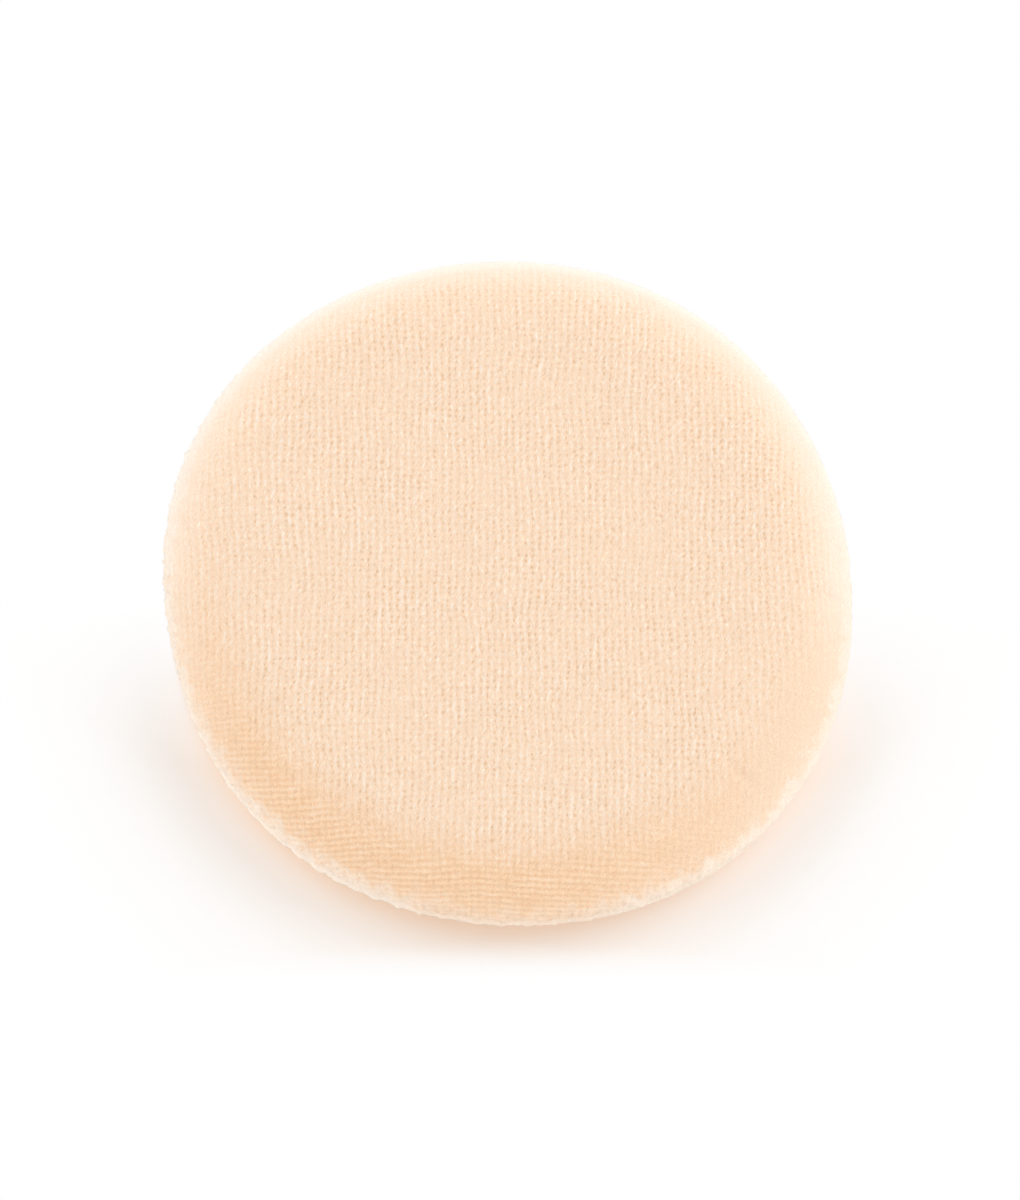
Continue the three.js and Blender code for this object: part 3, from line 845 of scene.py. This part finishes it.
def floorMaterial():
    # white matt card: the camera sees its shading close to the puff and plain white farther off, as in
    # a bright exposure. It is clear from below, and lets light from below onto the back of the puff.
    material, tree = newMaterial("whiteCard")
    place = addNode(tree, "ShaderNodeTexCoord").outputs["Object"]
    away = addNode(tree, "ShaderNodeVectorMath", {"operation": "LENGTH"}, {0: place}).outputs["Value"]
    farthest = floor["whiteBy"][-1][0]
    part = addNode(tree, "ShaderNodeMath", {"operation": "DIVIDE"}, {
        0: away, 1: farthest * mm}).outputs[0]
    most, tint = (
        addNode(tree, "ShaderNodeValToRGB", inputs={"Fac": part}, stops=[
            (distance / farthest, tone) for distance, tone in floor[label]]).outputs["Color"]
        for label in ("whiteBy", "cardBy"))
    depth = addNode(tree, "ShaderNodeSeparateXYZ", inputs={0: place}).outputs["Y"]
    low, high = floor["whiteClear"]
    clearOf = addNode(tree, "ShaderNodeMapRange", {"interpolation_type": "SMOOTHSTEP"}, {
        "Value": away, "From Min": low * mm, "From Max": high * mm}).outputs[0]
    for label in ("whiteBehind", "whiteBefore"):
        low, high = floor[label]
        beyond = addNode(tree, "ShaderNodeMapRange", {"interpolation_type": "SMOOTHSTEP"}, {
            "Value": depth, "From Min": low * mm, "From Max": high * mm, "To Max": clearOf}).outputs[0]
        most = addNode(tree, "ShaderNodeMath", {"operation": "MAXIMUM"}, {0: most, 1: beyond}).outputs[0]
    seen = seenDirectly(tree)
    share = addNode(tree, "ShaderNodeMath", {"operation": "MULTIPLY"}, {0: most, 1: seen})
    card = addNode(tree, "ShaderNodeBsdfDiffuse", inputs={"Color": tint})
    white = addNode(tree, "ShaderNodeEmission", inputs={"Color": (1, 1, 1, 1), "Strength": 1.0})
    above = addNode(tree, "ShaderNodeMixShader", inputs={
        0: share.outputs[0], 1: card.outputs[0], 2: white.outputs[0]})
    under = addNode(tree, "ShaderNodeMath", {"operation": "LESS_THAN"}, {
        0: away, 1: floor["lightFromBelow"] * mm})
    passing = addNode(tree, "ShaderNodeMath", {"operation": "SUBTRACT", "use_clamp": True}, {
        0: under.outputs[0], 1: seen})
    below = addNode(tree, "ShaderNodeMath", {"operation": "MAXIMUM"}, {
        0: addNode(tree, "ShaderNodeNewGeometry").outputs["Backfacing"], 1: passing.outputs[0]})
    clear = addNode(tree, "ShaderNodeBsdfTransparent")
    mixed = addNode(tree, "ShaderNodeMixShader", inputs={
        0: below.outputs[0], 1: above.outputs[0], 2: clear.outputs[0]})
    addNode(tree, "ShaderNodeOutputMaterial", inputs={"Surface": mixed.outputs[0]})
    return material


def addFloor():
    half = floor["half"]
    corners = np.array([(-half, -half, 0), (half, -half, 0), (half, half, 0), (-half, half, 0)])
    meshPiece("floor", corners, np.array([[0, 1, 2, 3]]), floorMaterial())


def addLight(name, place, power):
    # a square softbox that faces the puff
    data = bpy.data.lights.new(name, "AREA")
    data.shape, data.size = "SQUARE", light["keySize"]
    data.energy, data.color = power, light["keyColour"]
    lamp = bpy.data.objects.new(name, data)
    bpy.context.collection.objects.link(lamp)
    lamp.location = place
    lamp.rotation_mode = "QUATERNION"
    lamp.rotation_quaternion = lamp.location.normalized().to_track_quat("Z", "Y")


def addWorld():
    # a light tent, brighter at its sides than at its top and below; the camera sees plain white
    world = bpy.data.worlds.new("studio")
    world.use_nodes = True
    tree = world.node_tree
    tree.nodes.clear()
    way = addNode(tree, "ShaderNodeTexCoord").outputs["Generated"]
    upwards = addNode(tree, "ShaderNodeSeparateXYZ", inputs={0: way}).outputs["Z"]
    level = addNode(tree, "ShaderNodeMapRange", inputs={
        "Value": upwards, "To Min": light["tentSides"], "To Max": light["tentTop"]})
    under = addNode(tree, "ShaderNodeMath", {"operation": "LESS_THAN"}, {0: upwards, 1: 0.0})
    strength = addNode(tree, "ShaderNodeMix", inputs={
        0: under.outputs[0], 2: level.outputs[0], 3: light["tentBelow"]})
    room = addNode(tree, "ShaderNodeBackground", inputs={
        "Color": (*light["tentColour"], 1), "Strength": strength.outputs[0]})
    white = addNode(tree, "ShaderNodeBackground", inputs={"Color": (1, 1, 1, 1), "Strength": 1.0})
    mixed = addNode(tree, "ShaderNodeMixShader", inputs={
        0: seenDirectly(tree), 1: room.outputs[0], 2: white.outputs[0]})
    addNode(tree, "ShaderNodeOutputWorld", inputs={"Surface": mixed.outputs[0]})
    bpy.context.scene.world = world


def addCamera():
    # it looks at the puff from the front and above, and the puff's middle is at puffX, puffY in the photo
    data = bpy.data.cameras.new("camera")
    camera = bpy.data.objects.new("camera", data)
    bpy.context.collection.objects.link(camera)
    frameHeight = photo["height"] / photo["pixelsPerMm"]
    data.sensor_width = viewing["sensor"]
    data.lens = data.sensor_width * viewing["distance"] / frameHeight
    data.clip_start, data.clip_end = viewing["clip"]
    tilt = np.radians(viewing["elevation"])
    back = np.array([0, -np.cos(tilt), np.sin(tilt)])
    up = np.array([0, np.sin(tilt), np.cos(tilt)])
    middle = np.array([0, 0, frontHigh.z / mm / 2])
    right = (photo["width"] / 2 - photo["puffX"]) / photo["pixelsPerMm"]
    raised = (photo["puffY"] - photo["height"] / 2) / photo["pixelsPerMm"]
    target = middle + right * np.array([1, 0, 0]) + raised * up
    camera.location = ((target + back * viewing["distance"]) * mm).tolist()
    camera.rotation_euler = (np.pi / 2 - tilt, 0, 0)
    bpy.context.scene.camera = camera


addFloor()
addWorld()
for name, (place, power) in light["keys"].items():
    addLight(name, place, power)
addCamera()
bpy.context.scene.view_settings.view_transform = "Standard"
print("stage set")
